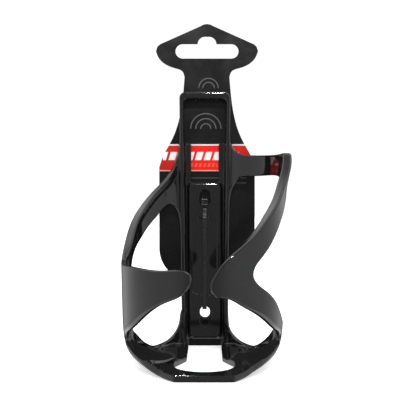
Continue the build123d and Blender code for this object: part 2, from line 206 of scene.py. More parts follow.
class Outline:
    """Closed outline on the unrolled wall, made of runs; distances are negative inside."""

    GRID = 0.5  # spacing of a table that says which edge is nearest
    MARGIN = 8.0
    WINDOW = np.arange(-8, 9)  # edges tried on each side of the table's

    def __init__(self, runs):
        lines = [thinned(smooth_line([(math.radians(a) * UNROLL, h) for a, h in run])) for run in runs]
        self.run = np.concatenate([np.full(len(line) - 1, i) for i, line in enumerate(lines)])
        self.start = np.concatenate([line[:-1] for line in lines])
        self.edge = np.roll(self.start, -1, axis=0) - self.start
        self.square = (self.edge**2).sum(1)
        turn = (self.start[:, 0] * self.edge[:, 1] - self.start[:, 1] * self.edge[:, 0]).sum()
        self.side = -np.sign(turn)
        self.low = self.start.min(0) - self.MARGIN
        self.size = np.ceil((self.start.max(0) + self.MARGIN - self.low) / self.GRID).astype(int)
        nodes = np.stack(np.meshgrid(*map(np.arange, self.size), indexing="ij"), axis=-1).reshape(-1, 2)
        self.table_edge, self.table_inside = self.search(nodes * self.GRID + self.low)

    def search(self, places, chunk=4096):
        """The nearest edge to each place, and whether the place is inside, tried against every edge."""
        nearest = np.empty(len(places), int)
        inside = np.empty(len(places), bool)
        ex, ey = self.edge.T
        slope = ex / np.where(ey == 0, 1e-12, ey)
        for i in range(0, len(places), chunk):
            px, py = np.moveaxis(places[i : i + chunk, None] - self.start, 2, 0)
            t = np.clip((px * ex + py * ey) / self.square, 0, 1)
            nearest[i : i + chunk] = ((px - t * ex) ** 2 + (py - t * ey) ** 2).argmin(1)
            crossed = ((py >= 0) != (py >= ey)) & (px < py * slope)
            inside[i : i + chunk] = crossed.sum(1) % 2 == 1
        return nearest, inside

    def distance(self, u, v):
        """Signed distance, and the run that is nearest."""
        i = np.clip(np.rint((u - self.low[0]) / self.GRID).astype(int), 0, self.size[0] - 1)
        j = np.clip(np.rint((v - self.low[1]) / self.GRID).astype(int), 0, self.size[1] - 1)
        node = i * self.size[1] + j
        tried = (self.table_edge[node, None] + self.WINDOW) % len(self.start)
        px = u[:, None] - self.start[tried, 0]
        py = v[:, None] - self.start[tried, 1]
        ex = self.edge[tried, 0]
        ey = self.edge[tried, 1]
        t = np.clip((px * ex + py * ey) / self.square[tried], 0, 1)
        gap = (px - t * ex) ** 2 + (py - t * ey) ** 2
        rows = np.arange(len(u))
        k = gap.argmin(1)
        reach = np.sqrt(gap[rows, k])
        across = (ex[rows, k] * py[rows, k] - ey[rows, k] * px[rows, k]) * self.side < 0
        inside = np.where(reach > 0.4, self.table_inside[node], across)
        return np.where(inside, -reach, reach), self.run[tried[rows, k]]


def mirrored(points):
    return [(-a, h) for a, h in points]


left_outline = Outline(
    [
        LEFT_WING + LEFT_ARM_TOP,
        [LEFT_ARM_TOP[-1], (-SPINE_ANGLE, 68)],
        [(-SPINE_ANGLE, 68), (-SPINE_ANGLE, 12)],
        [(-SPINE_ANGLE, 12), LEFT_ARM_LOW[0]],
        LEFT_ARM_LOW + LEFT_WINDOW + mirrored(RING),
        [(-162, -31), (-SPINE_ANGLE, -29)],
        [(-SPINE_ANGLE, -29), (-SPINE_ANGLE, CUT_DEPTH)],
        [(-SPINE_ANGLE, CUT_DEPTH), (-57, CUT_DEPTH)],
        [(-57, CUT_DEPTH), LEFT_WING[0]],
    ]
)
right_outline = Outline(
    [
        RIGHT_ARM_TOP + RIGHT_WING,
        [RIGHT_WING[-1], (57, CUT_DEPTH)],
        [(57, CUT_DEPTH), (SPINE_ANGLE, CUT_DEPTH)],
        [(SPINE_ANGLE, CUT_DEPTH), (SPINE_ANGLE, -29)],
        [(SPINE_ANGLE, -29), RING[-1]],
        list(reversed(RING)) + RIGHT_WING_TOP + RIGHT_ARM_LOW,
        [RIGHT_ARM_LOW[-1], (SPINE_ANGLE, 24)],
        [(SPINE_ANGLE, 24), (SPINE_ANGLE, 74)],
        [(SPINE_ANGLE, 74), RIGHT_ARM_TOP[0]],
    ]
)


# --- the moulding as one field ----------------------------------------------------------------
bowl_line = thinned(smooth_line([(x, BOTTOM + rise) for x, rise in BOWL]))


def over_bowl(x, y, z):
    """Distance above the underside, which rises to the sides like a bowl towards the front."""
    u = np.abs(x - BOTTLE_X)[:, None] - bowl_line[:-1, 0]
    v = z[:, None] - bowl_line[:-1, 1]
    eu, ev = np.diff(bowl_line, axis=0).T
    t = np.clip((u * eu + v * ev) / (eu**2 + ev**2), 0, 1)
    gap = (u - t * eu) ** 2 + (v - t * ev) ** 2
    rows = np.arange(len(x))
    k = gap.argmin(1)
    side = np.sign(eu[k] * v[rows, k] - ev[k] * u[rows, k])
    bowl = np.sqrt(gap[rows, k]) * side
    front = 1 - step_up(y, BOTTLE_Y, FLAT_FLOOR_Y)
    return front * bowl + (1 - front) * (z - BOTTOM)


def spine_half(z):
    share = (z - BOTTOM) / (SPINE_TOP - BOTTOM)
    return HALF_BOTTOM + share * (HALF_TOP - HALF_BOTTOM)


def polar(x, y):
    dx = x - BOTTLE_X
    dy = y - BOTTLE_Y
    return np.hypot(dx, dy), np.degrees(np.arctan2(dx, -dy))


def lean(angle, z):
    """The right arm's corner leans outwards: 0 to 1."""
    return step_up(z, 33, 50) * (1 - step_up(angle, 92, 114)) * (angle > 0)


def outer_radius(angle, z):
    root = ROOT_SHIFT * step_up(np.abs(angle), 148, 160)
    return WALL_RADIUS + WALL_TAPER * z + LEAN * lean(angle, z) + root


def band(x, y, z, outline, rim):
    """One band of the cage; rim(angle, z) is how much its first edge thickens inwards."""
    r, angle = polar(x, y)
    outer = outer_radius(angle, z)
    field = np.abs(r - outer + WALL / 2) - WALL / 2 - 2
    near = np.flatnonzero(field < 3)
    d, nearest = outline.distance(np.radians(angle[near]) * UNROLL, z[near])
    out = outer[near]
    lip = np.where(nearest == 0, rim(angle[near], z[near]), 0) * (1 - step_up(-d, 1.6, 4.6))
    inner = out - WALL - 1.1 * lean(angle[near], z[near]) - lip
    outside = both(r[near] - out, d, lower_edge(angle[near], z[near]))
    field[near] = both(outside, inner - r[near], 0.8)
    return field


def lower_edge(angle, z):
    """Rounding of the bands' outer edges, wide along the wings' lower edges and the mouth."""
    turn = np.abs(angle)
    wide = step_up(-z, 14, 27) * step_up(turn, 22, 50) * (1 - step_up(turn, 86, 96))
    return EDGE + 1.5 * wide


def left_rim(angle, z):
    return 1.5 * step_up(-angle, 88, 104) * (1 - 0.6 * step_up(-angle, 150, 162))


def right_rim(angle, z):
    return 1.35 * step_up(z, -2, 24) * (1 - step_up(angle, 96, 116)) * (1 - 0.5 * step_up(z, 36, 52))


def toe_plan(x, y):
    """Distance in plan to the toe, which is narrower at its front."""
    rx, ry = TOE_ROOT
    across = rx - TOE_HALF
    along = ry - TOE_Y
    bevel = ((np.abs(x) - TOE_HALF) * along - (y - TOE_Y) * across) / math.hypot(across, along)
    behind = (np.abs(x) * (BOTTLE_Y - ry) + (y - BOTTLE_Y) * rx) / math.hypot(rx, BOTTLE_Y - ry)
    return both(np.maximum(bevel, behind), TOE_Y - y, 0.6)


def floor_sheet(x, y, z, depth):
    """Floor with its keyhole opening, its toe, two low ribs and the raised platform between them."""
    r, angle = polar(x, y)
    rib = capsule(np.abs(x), y, RIB[0], RIB[1], 0.0)
    beside = np.abs(x) - RIB[0][0] - 0.51 * (-50 - y)
    raised = 0.9 * (1 - step_up(beside, -0.9, 0.9)) * step_up(-y, 46, 52)
    raised = np.maximum(raised, 1.9 * (1 - step_up(rib, 0.4, 2.4)))
    slab = np.maximum(-depth, depth - FLOOR - raised)
    slab = both(slab, z - SHEET_TOP, 0.7)
    inset = WALL / 2 * step_up(np.abs(angle), 74, 84)
    plan = either(r - outer_radius(angle, z) + inset, toe_plan(x, y), 1.0)
    return both(slab, without(plan, keyhole(x, y), 0.5), 0.7)


def keyhole(x, y):
    """Opening in the floor, in plan: a slot that widens to a round end at the front."""
    slot = rectangle(x, y, (0, -28), (KEYHOLE_HALF, 24.8), 3.0)
    round_end = np.hypot(x, y - KEYHOLE_END) - KEYHOLE_RADIUS
    shoulder = (np.abs(x) - KEYHOLE_HALF) * 0.93 - (KEYHOLE_SHOULDER - y) * 0.36
    wedge = np.maximum(shoulder, y - KEYHOLE_SHOULDER)
    widening = np.maximum(np.maximum(wedge, -62 - y), np.abs(x) - 14.2)
    return np.minimum(np.minimum(slot, round_end), widening)


def spine_body(x, y, z):
    """Channel with rails and a raised pad, its window, sunk panel, bolt slots and recess."""
    side = np.abs(x) - spine_half(z)
    outline = both(side, z - SPINE_TOP, 3.5)
    outline = both(outline, BOTTOM - z, 0.8)
    block = both(outline, np.abs(y + RAIL_DEPTH / 2) - RAIL_DEPTH / 2, 0.85)
    between_rails = both(side + RAIL, z - SPINE_TOP + BRIDGE, 2.4)
    block = without(block, both(between_rails, y + 2.5, 1.2), 0.95)
    pad = both(rectangle(x, z, PAD_MIDDLE, PAD_HALF, 3.0), np.abs(y + 2.4) - 2.1, 1.2)
    block = either(block, pad, 1.0)
    window = both(between_rails, WINDOW_NECK - z, 0.6)
    narrow = rectangle(x, z, (0, 54), (7.6, 14), 1.6)
    window = either(window, narrow, 1.6)
    block = without(block, window, 0.6)
    arch = PANEL_ARCH * (x / PANEL_HALF) ** 2
    panel = np.maximum(np.abs(x) - PANEL_HALF, np.abs(z + 0.5) - 21.5 + arch)
    block = without(block, np.maximum(panel, y + 4.1), 0.15)
    for low, high in SLOTS:
        block = without(block, capsule(x, z, (0, low), (0, high), SLOT_RADIUS), 0.35)
    recess = capsule(x, z, (0, RECESS[0]), (0, RECESS[1]), RECESS_RADIUS)
    return without(block, np.maximum(recess, y + 2.3), 0.4)


def undercut(x, y, z):
    """Space under the pad, where the spine's foot slopes back to the slot in the floor."""
    slope = ((y + 2.5) * 5.3 + (z + 45.3) * 1.7) / 5.566  # 5.566 is the length of (5.3, 1.7)
    return np.maximum(np.maximum(slope, z + 45.9), np.maximum(np.abs(x) - 9.3, -9.0 - y))


def moulding(p):
    """Distance to the whole cage, in millimetres."""
    x, y, z = p.T
    r, angle = polar(x, y)
    depth = over_bowl(x, y, z)
    bands = np.full(len(p), 9.0)
    for side, outline, rim in ((-1, left_outline, left_rim), (1, right_outline, right_rim)):
        near = np.flatnonzero(x * side > -6)
        one = band(x[near], y[near], z[near], outline, rim)
        bands[near] = np.minimum(bands[near], one)
    at_spine = np.where(y > FLAT_FLOOR_Y, spine_half(z) - 1.3 - np.abs(x), -9)
    bands = np.maximum(bands, at_spine)
    field = either(bands, floor_sheet(x, y, z, depth), 1.4)
    plan = np.minimum(r - outer_radius(angle, z), toe_plan(x, y))
    under_edge = 0.7 + 1.7 * step_up(np.abs(x), 24, 33)
    field = np.maximum(field, both(plan, -depth, under_edge))
    field = either(field, spine_body(x, y, z), 1.8)
    field = without(field, undercut(x, y, z), 0.8)
    return np.maximum(field, np.maximum(y, BOTTOM - z))


def gradient(field, p, reach=0.12):
    """Slope of a field, from its values at the four corners of a small tetrahedron."""
    corners = np.array([(1, -1, -1), (-1, 1, -1), (-1, -1, 1), (1, 1, 1)])
    values = [field(p + corner * reach)[:, None] * corner for corner in corners]
    return sum(values) / (4 * reach)


# --- the regions that the moulding is divided into --------------------------------------------
def in_spine(x, y, z):
    return np.maximum(np.abs(x) - spine_half(z) - 0.6, -9.2 - y)


def over_floor(x, y, z):
    return np.maximum(over_bowl(x, y, z) - FLOOR - 0.5, z - SHEET_TOP - 0.8)


def region(name, p):
    """Distance to the part of space that belongs to one node."""
    x, y, z = p.T
    spine = in_spine(x, y, z)
    if name == "spine":
        return spine
    above = over_floor(x, y, z)
    if name == "base_floor":
        return np.maximum(-spine, above)
    side = x + 1.5 if name.startswith("left") else -1.5 - x
    split_y, split_z = LEFT_SPLIT if name.startswith("left") else RIGHT_SPLIT
    outside = np.maximum(side, np.maximum(-spine, -above))
    if name.endswith("wing"):
        return np.maximum(outside, y - split_y)
    rear = np.maximum(outside, split_y - y)
    return np.maximum(rear, split_z - z if name.endswith("arm") else z - split_z)


# --- meshing ----------------------------------------------------------------------------------
COARSE = 4  # fine cells to a coarse cell


def sample(field, low, step, cells):
    """The field's values at the corners of a grid, worked out only near its surface."""
    blocks = -(-cells // COARSE)
    axes = [low[i] + (np.arange(blocks[i]) + 0.5) * step * COARSE for i in range(3)]
    centres = np.stack(np.meshgrid(*axes, indexing="ij"), axis=-1).reshape(-1, 3)
    middle = field(centres).reshape(blocks)
    near = np.abs(middle) < step * COARSE * 1.25
    corners = np.repeat(np.repeat(np.repeat(np.sign(middle), COARSE, 0), COARSE, 1), COARSE, 2)
    corners = np.pad(corners, ((0, 1),) * 3, mode="edge") * 9.0
    wanted = np.zeros(corners.shape, bool)
    grown = np.repeat(np.repeat(np.repeat(near, COARSE, 0), COARSE, 1), COARSE, 2)
    for shift in np.ndindex(2, 2, 2):
        part = tuple(slice(s, s + n) for s, n in zip(shift, grown.shape))
        wanted[part] |= grown
    index = np.argwhere(wanted)
    corners[wanted] = field(low + index * step)
    return corners


def surface_net(values, low, step):
    """Vertices and quads of the surface where the values change sign."""
    inside = values < 0
    count = np.zeros(np.array(values.shape) - 1, np.uint8)
    for shift in np.ndindex(2, 2, 2):
        count += inside[tuple(slice(s, s + n) for s, n in zip(shift, count.shape))]
    crossed = (count > 0) & (count < 8)
    cell = np.argwhere(crossed)
    number = np.full(count.shape, -1)
    number[crossed] = np.arange(len(cell))
    total = np.zeros((len(cell), 3))
    hits = np.zeros(len(cell))
    for axis in range(3):
        along = np.eye(3, dtype=int)[axis]
        for shift in np.ndindex(2, 2, 2):
            if shift[axis]:
                continue
            a = cell + shift
            b = a + along
            va = values[tuple(a.T)]
            vb = values[tuple(b.T)]
            hit = (va < 0) != (vb < 0)
            share = np.where(hit, va / np.where(va == vb, 1, va - vb), 0)
            total += hit[:, None] * (a + share[:, None] * along)
            hits += hit
    vertices = low + total / hits[:, None] * step
    quads = []
    for axis in range(3):
        u, v = np.eye(3, dtype=int)[(axis + 1) % 3], np.eye(3, dtype=int)[(axis + 2) % 3]
        first = [slice(0, -1) if i == axis else slice(1, -1) for i in range(3)]
        second = [slice(1, None) if i == axis else slice(1, -1) for i in range(3)]
        a = inside[tuple(first)]
        b = inside[tuple(second)]
        for change, order in ((a & ~b, 1), (b & ~a, -1)):
            corner = np.argwhere(change) + 1 - np.eye(3, dtype=int)[axis]
            ring = [corner - u - v, corner - v, corner, corner - u][::order]
            quads.append(np.stack([number[tuple(c.T)] for c in ring], axis=1))
    return vertices, np.concatenate(quads)


def without_crumbs(vertices, quads):
    """Drops the crumbs that a cut leaves apart from the main parts."""
    label = np.arange(len(vertices))
    while True:
        new = label.copy()
        np.minimum.at(new, quads.ravel(), np.repeat(label[quads].min(1), 4))
        new = new[new]
        if (new == label).all():
            break
        label = new
    size = np.bincount(label, minlength=len(vertices))
    quads = quads[size[label[quads[:, 0]]] > 0.05 * size.max()]
    used = np.unique(quads)
    renumber = np.zeros(len(vertices), int)
    renumber[used] = np.arange(len(used))
    return vertices[used], renumber[quads]


def mesh_from(name, vertices, faces, normals=None):
    """A smooth-shaded object from places in millimetres."""
    mesh = bpy.data.meshes.new(name)
    mesh.from_pydata((np.asarray(vertices) * MM).tolist(), [], [list(map(int, f)) for f in faces])
    mesh.polygons.foreach_set("use_smooth", np.ones(len(mesh.polygons), bool))
    if normals is not None:
        mesh.normals_split_custom_set(normals.tolist())
    mesh.update()
    piece = bpy.data.objects.new(name, mesh)
    bpy.context.scene.collection.objects.link(piece)
    return piece


def settle(p, name, step):
    """Moves rough vertices onto the moulding, onto the region's cut, or onto both at the seam."""

    def cut(q):
        return region(name, q)

    limit = step * 0.75
    for _ in range(3):
        f = moulding(p)
        g = cut(p)
        df = gradient(moulding, p)
        dg = gradient(cut, p)
        seam = (np.abs(f) < limit) & (np.abs(g) < limit)
        ff = np.maximum((df * df).sum(1), 0.2)
        gg = np.maximum((dg * dg).sum(1), 0.2)
        fg = (df * dg).sum(1)
        det = ff * gg - fg * fg
        seam &= det > 0.15 * ff * gg
        a = np.where(seam, (f * gg - g * fg) / np.where(seam, det, 1), np.where(f >= g, f / ff, 0))
        b = np.where(seam, (g * ff - f * fg) / np.where(seam, det, 1), np.where(f >= g, 0, g / gg))
        move = -(a[:, None] * df + b[:, None] * dg)
        long = np.maximum(np.linalg.norm(move, axis=1) / limit, 1)
        p = p + move / long[:, None]
    return p


def mesh_region(name, step):
    """The mesh of one region of the moulding, closed at its cuts, with true normals."""
    box_low, box_high = (np.array(corner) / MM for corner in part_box(name))
    low = box_low - 4 * step - 2.0
    cells = np.ceil((box_high + 4 * step + 2.0 - low) / step).astype(int)

    def whole(p):
        return np.maximum(moulding(p), region(name, p))

    vertices, quads = without_crumbs(*surface_net(sample(whole, low, step, cells), low, step))
    vertices = settle(vertices, name, step)
    normals = gradient(moulding, vertices)
    normals /= np.maximum(np.linalg.norm(normals, axis=1), 1e-6)[:, None]
    centres = vertices[quads].mean(1)
    capped = region(name, centres) > moulding(centres) + 0.02
    corners = normals[quads]
    flat = gradient(lambda q: region(name, q), centres[capped])
    flat /= np.maximum(np.linalg.norm(flat, axis=1), 1e-6)[:, None]
    corners[capped] = flat[:, None]
    return mesh_from(name + "_moulding", vertices, quads, corners.reshape(-1, 3))


def mesh_field(name, field, low, high, step):
    """The mesh of a small field, with true normals."""
    low = low - 4 * step
    cells = np.ceil((high + 4 * step - low) / step).astype(int)
    vertices, quads = surface_net(sample(field, low, step, cells), low, step)
    for _ in range(3):
        slope = gradient(field, vertices, 0.03)
        size = np.maximum((slope * slope).sum(1), 0.2)
        vertices = vertices - slope * np.clip(field(vertices) / size, -step, step)[:, None]
    normals = gradient(field, vertices, 0.05)
    normals /= np.maximum(np.linalg.norm(normals, axis=1), 1e-6)[:, None]
    return mesh_from(name, vertices, quads, normals[quads].reshape(-1, 3))


# --- hang card --------------------------------------------------------------------------------
CARD_X = (card_low[0] + card_high[0]) / 2
HEADER = (card_high[0] - card_low[0]) / 2
CARD_TOP = card_high[2]
CARD_HALF = HEADER - 1.85
CARD_CORNER = 17.5
CARD_EDGE = 0.08  # bevel of the card's cut edges
HANG_Z = 113.0
HANG_HALF = 13.5  # to the middles of the hanger slot's round ends
HANG_RADIUS = 4.0
BUMP_HALF = 1.1  # the same for the bump in its middle
BUMP_RADIUS = 4.1
SLIT_HALF = (1.5, 0.9)


def arc(middle, radius, start, end, count=24):
    """Points of an arc, angles in degrees."""
    turn = np.radians(np.linspace(start, end, count))
    return [(middle[0] + radius * math.cos(t), middle[1] + radius * math.sin(t)) for t in turn]


def card_outline():
    """The card's outer edge, from its top down the right side and back up the left."""
    low = card_low[2]
    half = [(0, CARD_TOP), (1.9, CARD_TOP - 0.3), (3.6, CARD_TOP - 1.2), (HEADER - 2.4, 117.0)]
    half += [(HEADER - 0.8, 115.6), (HEADER, 113.0)]
    bend = [(HEADER, 113.0), (HEADER - 1.6, 109.3), (HEADER - 6.3, 105.2), (HEADER - 11, 103.5)]
    half += list(smooth_line(bend + [(HEADER - 14.6, 101.9), (HEADER - 15.9, 98.7)]))[1:]
    flank = [(HEADER - 15.9, 98.7), (13.3, 89), (14.7, 79), (17, 70), (20.6, 61.8), (24.4, 54.8)]
    half += list(smooth_line(flank + [(CARD_HALF, 48.5)]))[1:]
    half += arc((CARD_HALF - CARD_CORNER, low + CARD_CORNER), CARD_CORNER, 0, -90)
    return [(CARD_X + x, z) for x, z in half] + [(CARD_X - x, z) for x, z in reversed(half[1:])]


def card_holes():
    """The hanger slot with its middle bump, and the slit that the tie goes through."""
    slot = arc((CARD_X - HANG_HALF, HANG_Z), HANG_RADIUS, 90, 270)
    slot += arc((CARD_X + HANG_HALF, HANG_Z), HANG_RADIUS, -90, 90)
    top = HANG_Z + HANG_RADIUS
    slot += arc((CARD_X + BUMP_HALF, top), BUMP_RADIUS, 0, 90)
    slot += arc((CARD_X - BUMP_HALF, top), BUMP_RADIUS, 90, 180)
    corners = ((1, -1), (1, 1), (-1, 1), (-1, -1))
    slit = [(TIE_X + right * SLIT_HALF[0], REACH + up * SLIT_HALF[1]) for right, up in corners]
    return [slot, slit]


def card_piece():
    """The card as a flat sheet with finely bevelled edges."""
    loops = [thinned(np.array(loop)) for loop in [card_outline()] + card_holes()]
    flat = bmesh.new()
    for loop in loops:
        ring = [flat.verts.new((x, 0, z)) for x, z in loop]
        for a, b in zip(ring, ring[1:] + ring[:1]):
            flat.edges.new((a, b))
    bmesh.ops.triangle_fill(flat, edges=flat.edges[:], use_beauty=True, normal=(0, -1, 0))
    grown = bmesh.ops.extrude_face_region(flat, geom=flat.faces[:])
    moved = [v for v in grown["geom"] if isinstance(v, bmesh.types.BMVert)]
    bmesh.ops.translate(flat, verts=moved, vec=(0, card_high[1], 0))
    bmesh.ops.recalc_face_normals(flat, faces=flat.faces[:])
    edges = [e for e in flat.edges if len(e.link_faces) == 2 and e.calc_face_angle() > 1.2]
    bmesh.ops.bevel(flat, geom=edges, offset=CARD_EDGE, segments=2, affect="EDGES", profile=0.5)
    for vertex in flat.verts:
        vertex.co *= MM
    for face in flat.faces:
        face.smooth = abs(face.normal.y) < 0.999
    mesh = bpy.data.meshes.new("hang_card_print")
    flat.to_mesh(mesh)
    flat.free()
    piece = bpy.data.objects.new("hang_card_print", mesh)
    bpy.context.scene.collection.objects.link(piece)
    return piece


# --- cable tie --------------------------------------------------------------------------------
TIE_X = (strap_low[0] + strap_high[0]) / 2
STRAP_HALF = (strap_high[0] - strap_low[0]) / 2
STRAP = 0.9
FRONT_RUN = head_high[1] - STRAP / 2
BACK_RUN = strap_high[1] - STRAP / 2
REACH = strap_high[2] - STRAP / 2
TEETH_FROM = 20.5  # the strap's teeth show above this height
TOOTH = 0.95


def strap_field(p):
    """The strap: a flat loop around the pad and the card, with its tail through the head."""
    x, y, z = p.T
    middle = (FRONT_RUN + BACK_RUN) / 2
    loop = rectangle(y, z, (middle, 0), ((BACK_RUN - FRONT_RUN) / 2, REACH), 0.9)
    tail = capsule(y, z, (head_low[1] + 0.1, REACH), (FRONT_RUN, REACH), 0.0)
    saw = np.abs((z / TOOTH) % 1 - 0.5) * 2
    teeth = 0.2 * saw * step_up(z, TEETH_FROM, TEETH_FROM + 0.8) * (y < FRONT_RUN)
    across = np.minimum(np.abs(loop), tail) - STRAP / 2 + teeth
    strap = both(across, np.abs(x - TIE_X) - STRAP_HALF, 0.4)
    return np.maximum(strap, head_low[1] - y)


def head_field(p):
    """The ratchet head: a rounded block with a window, the pawl in it and two grip notches."""
    x, y, z = p.T
    half_x = (head_high[0] - head_low[0]) / 2
    half_z = (head_high[2] - head_low[2]) / 2
    middle = (head_low[2] + head_high[2]) / 2
    deep = (head_high[1] - head_low[1]) / 2
    centre = (head_low[1] + head_high[1]) / 2
    plan = rectangle(x, z, (TIE_X, middle), (half_x, half_z), 0.8)
    taper = 0.35 * (1 - step_up(y, head_low[1], head_high[1]))
    block = both(plan + taper, np.abs(y - centre) - deep, 0.45)
    well = both(rectangle(x, z, (TIE_X, middle), (1.55, 0.95), 0.3), y - head_low[1] - 1.1, 0.2)
    block = without(block, well, 0.25)
    notch = np.maximum(np.abs(z - middle) - 0.6, half_x - 0.45 - np.abs(x - TIE_X))
    block = without(block, np.maximum(notch, head_low[1] + 0.9 - y), 0.2)
    pawl = rectangle(x, z, (TIE_X, middle + 0.75), (0.8, 0.35), 0.15)
    pawl = both(pawl, y - head_low[1] - 1.5, 0.2)
    pawl = np.maximum(pawl, head_low[1] + 0.35 - y)
    return either(block, pawl, 0.15)


MOULDING = ("spine", "left_arm", "left_wing", "left_ring", "right_arm", "right_wing", "right_ring")
MOULDING += ("base_floor",)
STEP = 0.5  # the mesh's cell
TIE_STEP = 0.15


# --- nodes ------------------------------------------------------------------------------------
class Nodes:
    """Short ways to add nodes to one tree."""

    def __init__(self, tree):
        self.tree = tree

    def add(self, kind, **settings):
        node = self.tree.nodes.new(kind)
        for key, value in settings.items():
            setattr(node, key, value)
        return node

    def link(self, source, target):
        self.tree.links.new(source, target)

    def feed(self, target, value):
        if isinstance(value, bpy.types.NodeSocket):
            self.link(value, target)
        else:
            target.default_value = value

    def math(self, operation, a, b=0.0, clamp=False):
        node = self.add("ShaderNodeMath", operation=operation, use_clamp=clamp)
        self.feed(node.inputs[0], a)
        self.feed(node.inputs[1], b)
        return node.outputs[0]

    def span(self, value, low, high, to_low=0.0, to_high=1.0, smooth=True):
        """A value's place between low and high, as a share from to_low to to_high."""
        node = self.add("ShaderNodeMapRange", interpolation_type="SMOOTHSTEP" if smooth else "LINEAR")
        for socket, number in zip(node.inputs, (value, low, high, to_low, to_high)):
            self.feed(socket, number)
        return node.outputs[0]

    def inside(self, value, low, high, soft):
        """1 between low and high, 0 outside."""
        up = self.span(value, low - soft, low + soft)
        down = self.span(value, high - soft, high + soft, 1.0, 0.0)
        return self.math("MULTIPLY", up, down)

    def mix(self, share, a, b):
        node = self.add("ShaderNodeMix", data_type="RGBA")
        self.feed(node.inputs[0], share)
        self.feed(node.inputs[6], a)
        self.feed(node.inputs[7], b)
        return node.outputs[2]

    def noise(self, vector, scale, detail=3.0, roughness=0.5):
        node = self.add("ShaderNodeTexNoise")
        self.link(vector, node.inputs["Vector"])
        node.inputs["Scale"].default_value = scale
        node.inputs["Detail"].default_value = detail
        node.inputs["Roughness"].default_value = roughness
        return node.outputs["Fac"]

    def bump(self, height, strength, distance):
        node = self.add("ShaderNodeBump")
        self.link(height, node.inputs["Height"])
        node.inputs["Strength"].default_value = strength
        node.inputs["Distance"].default_value = distance
        return node.outputs["Normal"]


def new_material(name):
    material = bpy.data.materials.new(name)
    material.use_nodes = True
    tree = material.node_tree
    shader = next(n for n in tree.nodes if n.type == "BSDF_PRINCIPLED")
    nodes = Nodes(tree)
    place = nodes.add("ShaderNodeTexCoord").outputs["Object"]
    return material, nodes, shader, place


def grey(value):
    return (value, value, value, 1.0)


def cage_plastic():
    """Black moulded plastic: high gloss, faint flow marks, fine handling haze and dust."""
    material, nodes, shader, place = new_material("cage_plastic")
    flow = nodes.noise(place, 28.0, 2.0)
    haze = nodes.noise(place, 160.0, 5.0, 0.6)
    dust = nodes.span(nodes.noise(place, 2600.0, 2.0, 0.4), 0.66, 0.74)
    rough = nodes.math("ADD", nodes.span(haze, 0.35, 0.75, 0.03, 0.09), nodes.math("MULTIPLY", dust, 0.12))
    nodes.link(rough, shader.inputs["Roughness"])
    base = nodes.mix(nodes.span(flow, 0.3, 0.7), (0.0045, 0.0045, 0.005, 1), (0.0075, 0.0075, 0.008, 1))
    nodes.link(nodes.mix(nodes.math("MULTIPLY", dust, 0.25), base, grey(0.06)), shader.inputs["Base Color"])
    ripple = nodes.bump(flow, 0.10, 0.0012)
    fine = nodes.bump(haze, 0.05, 0.00015)
    nodes.link(ripple, fine.node.inputs["Normal"])
    nodes.link(fine, shader.inputs["Normal"])
    shader.inputs["IOR"].default_value = 1.5
    return material


# the card's print, in millimetres on the card
BAND = (47.0, 60.65)  # heights of the red band
BARS = (52.6, 57.1)
BAR_SLANT = 0.3
TICKS = (48.9, 50.9)
THIN_LINES = (39.7, 42.5)
ARCHES = (((0.5, 70.0), (8.4, 5.6, 2.8), 0.3), ((2.0, 92.6), (5.4, 3.2), 0.24))
PRINT_BLUR = 0.07


def nested_arches(nodes, x, z, middle, radii, width):
    """Ink of plain half rings, one inside the other; width is half of each line's."""
    u = nodes.math("SUBTRACT", x, middle[0])
    v = nodes.math("SUBTRACT", z, middle[1])
    square = nodes.math("ADD", nodes.math("MULTIPLY", u, u), nodes.math("MULTIPLY", v, v))
    r = nodes.math("SQRT", square)
    ink = 0.0
    for radius in radii:
        ink = nodes.math("ADD", nodes.inside(r, radius - width, radius + width, 0.15), ink)
    return nodes.math("MULTIPLY", ink, nodes.span(v, -0.15, 0.15), True)


def slanted_bars(nodes, x, z, pitch, first, width, blur, heights, sides):
    """Ink of a row of slanted bars; first is where a bar starts, at the height of BARS[0]."""
    slant = nodes.math("MULTIPLY", nodes.math("SUBTRACT", z, BARS[0]), BAR_SLANT)
    upright_x = nodes.math("SUBTRACT", x, slant)
    in_pitch = nodes.math("MODULO", nodes.math("SUBTRACT", upright_x, first), pitch)
    ink = nodes.inside(in_pitch, 0.0, width, blur)
    ink = nodes.math("MULTIPLY", ink, nodes.inside(z, *heights, PRINT_BLUR))
    return nodes.math("MULTIPLY", ink, nodes.inside(x, *sides, PRINT_BLUR))


